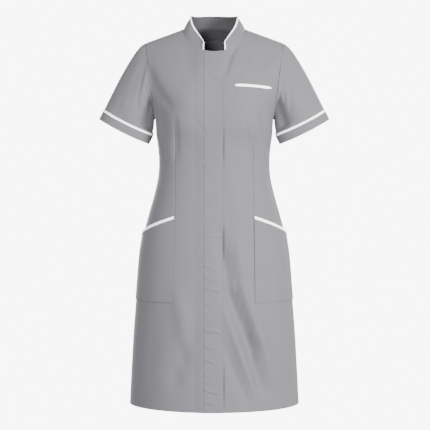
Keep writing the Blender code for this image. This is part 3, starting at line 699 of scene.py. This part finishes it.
# Sleeves, the band above each cuff and the cuffs: tubes read from the top line round by the front.
# Corner and beside places are given for the left side, and the right side's are mirrored.
sleeveParts = {
    "Sleeve": {"node": "sleeve", "corner": (0.19, 0.0, 0.05), "beside": (0.185, -0.05, -0.04), "row": 0.0045,
               "wallKept": 0.7, "flat": (0.37, 0.215), "area": 0.048, "cloth": twill, "held": "draped"},
    "SleeveBand": {"node": "sleeve_piping", "corner": (0.34, 0.0, -0.20), "beside": (0.3, -0.05, -0.22),
                   "row": 0.0025, "wallKept": 1.0, "flat": (0.39, 0.0102), "area": 0.0022, "cloth": binding,
                   "held": "stretched"},
    "Cuff": {"node": "cuff", "corner": (0.34, 0.0, -0.20), "beside": (0.3, -0.05, -0.22),
             "row": 0.0025, "wallKept": 1.0, "flat": (0.39, 0.0235), "cloth": twill, "held": "stretched"},
}
sleeveSizes = {"column": 0.0045, "radius": 0.06, "length": 0.2, "topFade": 0.14, "endFade": 0.16}
sleeveCreases = (
    # both ends as degrees round from the top (front plus) and share down the sleeve, then width, height in mm
    (140, 0.1, 150, 1.0, 30, -16.0), (-140, 0.1, -150, 1.0, 28, -14.0),
    (84, 0.0, 84, 1.0, 22, 3.0), (-84, 0.0, -84, 1.0, 22, 3.0), (60, 0.06, 98, 0.6, 9, -2.6),
    (84, 0.02, 104, 0.34, 8, -2.2), (34, 0.1, 62, 0.75, 13, 1.6), (-48, 0.06, -100, 0.6, 9, -2.4),
    (-80, 0.0, -112, 0.4, 8, -1.8), (12, 0.3, 24, 0.9, 16, -1.2), (-16, 0.25, -24, 0.9, 15, -1.1),
)


def creaseSleeve(skins):
    outer, inner = skins
    rows, columns = outer.shape[:2]
    turn = np.arange(columns) * 360 / columns
    turn = np.where(turn > 180, turn - 360, turn)[None, :]
    down = np.linspace(0, 1, rows)[:, None]
    radius, length = sleeveSizes["radius"], sleeveSizes["length"]
    height = np.zeros((rows, columns))
    for startTurn, startDown, endTurn, endDown, width, rise in sleeveCreases:
        runU, runV = math.radians(endTurn - startTurn) * radius, (endDown - startDown) * length
        u, v = np.radians(turn - startTurn) * radius, (down - startDown) * length
        run = math.hypot(runU, runV)
        along, across = (u * runU + v * runV) / run, (u * runV - v * runU) / run
        past = np.maximum(np.maximum(-along, along - run), 0.0)
        reach = np.hypot(across, past) / (width / 1000)
        height += rise / 1000 * np.exp(-reach * reach)
    height *= smoothShare(down / sleeveSizes["topFade"]) * smoothShare((1 - down) / sleeveSizes["endFade"])
    centre = outer.mean(axis=1, keepdims=True)
    way = outer - centre
    way /= np.linalg.norm(way, axis=-1, keepdims=True)
    move = way * height[..., None]
    return [outer + move, inner + move]


for side, word in ((-1, "right"), (1, "left")):
    for part, sizes in sleeveParts.items():
        node = f"{sizes['node']}_{word}"
        corner, beside = ((side * x, y, z) for x, y, z in (sizes["corner"], sizes["beside"]))
        outer, inner, ring = readSkins(node, corner, beside, tube=True)
        skins = fineSkins((outer, inner), sizes["row"], sleeveSizes["column"], ring, wall=sizes["wallKept"])
        if part == "Sleeve":
            skins = creaseSleeve(skins)
        piece = sewPiece(word + part, skins, ring, node)
        dressPiece(piece, sizes["cloth"])
        print(word, part, outer.shape, skins[0].shape)
print("Sleeves sewn")


# Collar, its white edging and the facing inside the back neck
collarPieces = {
    "collarStand": {
        "node": "collar", "corner": (0.04, -0.3, -0.10), "beside": (0.06, -0.06, -0.05), "wall": 0.002,
        "tuck": 0.0012, "flat": (0.44, 0.040), "cloth": twill, "on": ["leftFront", "rightFront"]},
    "collarEdging": {
        "node": "collar_piping", "corner": (0.03, -0.3, -0.10), "beside": (0.035, -0.3, -0.07),
        "wall": 0.0011, "shows": 0.74, "flat": (0.49, 0.0102), "area": 0.0016, "cloth": binding,
        "on": ["collarStand"]},
    "backNeckFacing": {
        "node": "back_neck_facing", "corner": (-0.06, 0.0, 0.02), "beside": (0.0, 0.05, 0.0), "wall": 0.0011,
        # the facing's cloth carries painted shade: darker colours for the shade inside the neck
        "shows": 0.65, "flat": (0.165, 0.038), "cloth": shadedNeckCloth, "on": ["leftBack", "rightBack"]},
}
collarSteps = {"row": 0.002, "column": 0.0025, "corner": 0.9}
collarDip = {"dip": 0.0036, "reach": 0.058, "behind": 0.05, "rise": 0.032}


def tuckUnder(skins, far):
    # The lower edge runs on under the neckline, so that the seam is shut
    for grid in skins:
        way = grid[0] - grid[1]
        grid[0] += way / np.linalg.norm(way, axis=-1, keepdims=True) * far
    return skins


def topFirst(skins):
    return skins[0][0, :, 2].mean() > skins[0][-1, :, 2].mean()


def narrowEdging(skins, shows):
    # The edging's lower side is drawn in towards the collar's edge
    top = 0 if topFirst(skins) else -1
    return [grid[top] + (grid - grid[top]) * shows for grid in skins]


def cutFacing(skins, shows):
    # The facing is cut off below, so that its lower edge shows in the neck's opening
    kept = round(len(skins[0]) * shows)
    return [grid[:kept] if topFirst(skins) else grid[-kept:] for grid in skins]


def dipBack(skins, sizes):
    # The collar's top edge is lowered a little at the middle back, so that it looks level from the front
    for grid in skins:
        x, y, z = grid[..., 0], grid[..., 1], grid[..., 2]
        share = smoothShare(y / sizes["behind"]) * smoothShare(z / sizes["rise"])
        z -= sizes["dip"] * share * np.clip(1 - (x / sizes["reach"]) ** 2, 0, 1)
    return skins


for name, sizes in collarPieces.items():
    outer, inner, ring = readSkins(sizes["node"], sizes["corner"], sizes["beside"], sizes["wall"])
    skins = fineSkins((outer, inner), collarSteps["row"], collarSteps["column"], corner=collarSteps["corner"])
    if name == "collarStand":
        skins = dipBack(tuckUnder(skins, sizes["tuck"]), collarDip)
    elif name == "collarEdging":
        skins = dipBack(narrowEdging(skins, sizes["shows"]), collarDip)
    else:
        skins = cutFacing(skins, sizes["shows"])
    piece = sewPiece(name, skins, ring, sizes["node"])
    dressPiece(piece, sizes["cloth"])
    print(name, outer.shape, skins[0].shape)
print("Collar sewn")


# Stitches: one short thread, modelled once and copied along each sewn line
stitchSizes = {"pitch": 0.0032, "length": 0.0024, "radius": 0.00024, "hem": 0.0215, "edge": 0.0016,
               "ahead": 0.001, "thread": "#57565c", "roughness": 0.6}
bpy.ops.mesh.primitive_uv_sphere_add(segments=6, ring_count=4, radius=1.0, rotation=(0, math.pi / 2, 0))
threadModel = bpy.context.object
bpy.ops.object.transform_apply(rotation=True)
threadCorners = np.array([vert.co for vert in threadModel.data.vertices])
threadFaces = [tuple(face.vertices) for face in threadModel.data.polygons]
bpy.data.objects.remove(threadModel)

# Spun polyester thread, dyed to match the twill: matt, so that the rows show by their shape
threadMaterial = bpy.data.materials.new("grey sewing thread")
threadMaterial.use_nodes = True
threadShader = threadMaterial.node_tree.nodes["Principled BSDF"]
threadShader.inputs["Base Color"].default_value = linearColour(stitchSizes["thread"])
threadShader.inputs["Roughness"].default_value = stitchSizes["roughness"]


def insetLine(grid, inset):
    # A line of points and ways out of the cloth, at a distance from the grid's first row
    steps = np.linalg.norm(np.diff(grid, axis=0), axis=-1)
    far = np.concatenate([np.zeros((1, grid.shape[1])), np.cumsum(steps, axis=0)])
    i = np.clip((far <= inset).sum(axis=0) - 1, 0, len(grid) - 2)
    j = np.arange(grid.shape[1])
    share = ((inset - far[i, j]) / steps[i, j])[:, None]
    points = grid[i, j] * (1 - share) + grid[i + 1, j] * share
    up = grid[i + 1, j] - grid[i, j]
    way = np.cross(np.gradient(points, axis=0), up)
    return points, way / (np.linalg.norm(way, axis=-1, keepdims=True) + 1e-12)


def placeOn(run, values, at):
    return np.array([np.interp(at, run, values[:, axis]) for axis in range(3)])


def stitchAlong(name, lines):
    corners, faces = [], []
    for points, ways in lines:
        run = np.concatenate([[0.0], np.cumsum(np.linalg.norm(np.diff(points, axis=0), axis=-1))])
        for k in range(int(run[-1] / stitchSizes["pitch"])):
            at = (k + 0.5) * stitchSizes["pitch"]
            centre, out = placeOn(run, points, at), placeOn(run, ways, at)
            ahead = placeOn(run, points, at + stitchSizes["ahead"]) - centre
            ahead /= np.linalg.norm(ahead) + 1e-12
            out = out * (1 if out.dot(bodyWay(centre)) > 0 else -1)
            side = np.cross(out, ahead)
            axes = np.array([
                ahead * stitchSizes["length"] / 2, side * stitchSizes["radius"], out * stitchSizes["radius"]])
            base = len(corners) * len(threadCorners)
            corners.append(threadCorners @ axes + centre)
            faces += [tuple(base + corner for corner in face) for face in threadFaces]
    mesh = bpy.data.meshes.new(name)
    mesh.from_pydata(np.concatenate(corners).tolist(), [], faces)
    mesh.shade_smooth()
    piece = bpy.data.objects.new(name, mesh)
    bpy.context.collection.objects.link(piece)
    piece.data.materials.append(threadMaterial)
    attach(piece, "root")
    print(name, len(corners), "stitches")


stitchAlong("hemStitches", [insetLine(outerGrids[name], stitchSizes["hem"]) for name in panels])
stitchAlong("flyStitches", [insetLine(outerGrids["flyStrip"].swapaxes(0, 1), stitchSizes["edge"])])
for word in ("right", "left"):
    pocket = outerGrids[f"{word}HipPocket"]
    stitchAlong(f"{word}PocketStitches", [
        insetLine(pocket, stitchSizes["edge"]), insetLine(pocket.swapaxes(0, 1), stitchSizes["edge"])])
print("Stitches sewn")


# Pale studio paper all round, soft lights and the photograph's camera. The paper glows for the camera alone,
# and lights the cloth with a much weaker glow, as paper that stands well behind it would.
studio = {
    "floorHeight": -1.30, "floorHalf": 40.0, "paper": "#f6f6f8", "seenGlow": 9.0, "fillGlow": 0.62,
    "camera": (0.0019, -3.2, -0.395), "aim": (0.0019, 0.0, -0.4944), "lens": 100.35,
    "lights": (
        # place, aim, width, height, power, in metres and watts
        ((2.4, -2.3, 0.1), (0.0, 0.0, -0.45), 0.8, 1.2, 345.0),
        ((-0.8, -3.3, 0.2), (0.0, 0.0, -0.5), 1.0, 1.2, 240.0),
        ((-1.4, 2.8, 0.4), (0.0, 0.0, -0.45), 1.2, 1.4, 210.0),
        ((2.0, 2.4, 0.9), (0.0, 0.0, -0.45), 1.0, 1.2, 110.0),
    ),
}


def aimAt(piece, target):
    piece.rotation_euler = (Vector(target) - piece.location).to_track_quat("-Z", "Y").to_euler()


def glowStrength(tree):
    seen = addNode(tree, "ShaderNodeLightPath").outputs["Is Camera Ray"]
    spread = studio["seenGlow"] - studio["fillGlow"]
    settings = {"operation": "MULTIPLY_ADD", 1: spread, 2: studio["fillGlow"]}
    return addNode(tree, "ShaderNodeMath", settings, {0: seen}).outputs[0]


bpy.ops.mesh.primitive_plane_add(size=studio["floorHalf"] * 2, location=(0, 0, studio["floorHeight"]))
floor = bpy.context.object
floor.name = "paleFloor"
floorMaterial = bpy.data.materials.new("pale studio paper")
floorMaterial.use_nodes = True
floorShader = floorMaterial.node_tree.nodes["Principled BSDF"]
floorShader.inputs["Base Color"].default_value = (0, 0, 0, 1)
floorShader.inputs["Specular IOR Level"].default_value = 0.0
floorShader.inputs["Emission Color"].default_value = linearColour(studio["paper"])
floorShader.inputs["Roughness"].default_value = 1.0
floorTree = floorMaterial.node_tree
floorTree.links.new(glowStrength(floorTree), floorShader.inputs["Emission Strength"])
floor.data.materials.append(floorMaterial)

world = bpy.data.worlds.new("soft studio")
bpy.context.scene.world = world
world.use_nodes = True
paperGlow = world.node_tree.nodes["Background"]
paperGlow.inputs["Color"].default_value = linearColour(studio["paper"])
world.node_tree.links.new(glowStrength(world.node_tree), paperGlow.inputs["Strength"])

for i, (place, target, width, height, power) in enumerate(studio["lights"]):
    bpy.ops.object.light_add(type="AREA", location=place)
    light = bpy.context.object
    light.name = f"softLight{i}"
    light.data.shape = "RECTANGLE"
    light.data.size, light.data.size_y = width, height
    light.data.energy = power
    aimAt(light, target)

bpy.ops.object.camera_add(location=studio["camera"])
camera = bpy.context.object
aimAt(camera, studio["aim"])
camera.data.lens = studio["lens"]
camera.data.sensor_width = 36.0
bpy.context.scene.camera = camera
print("Studio set")
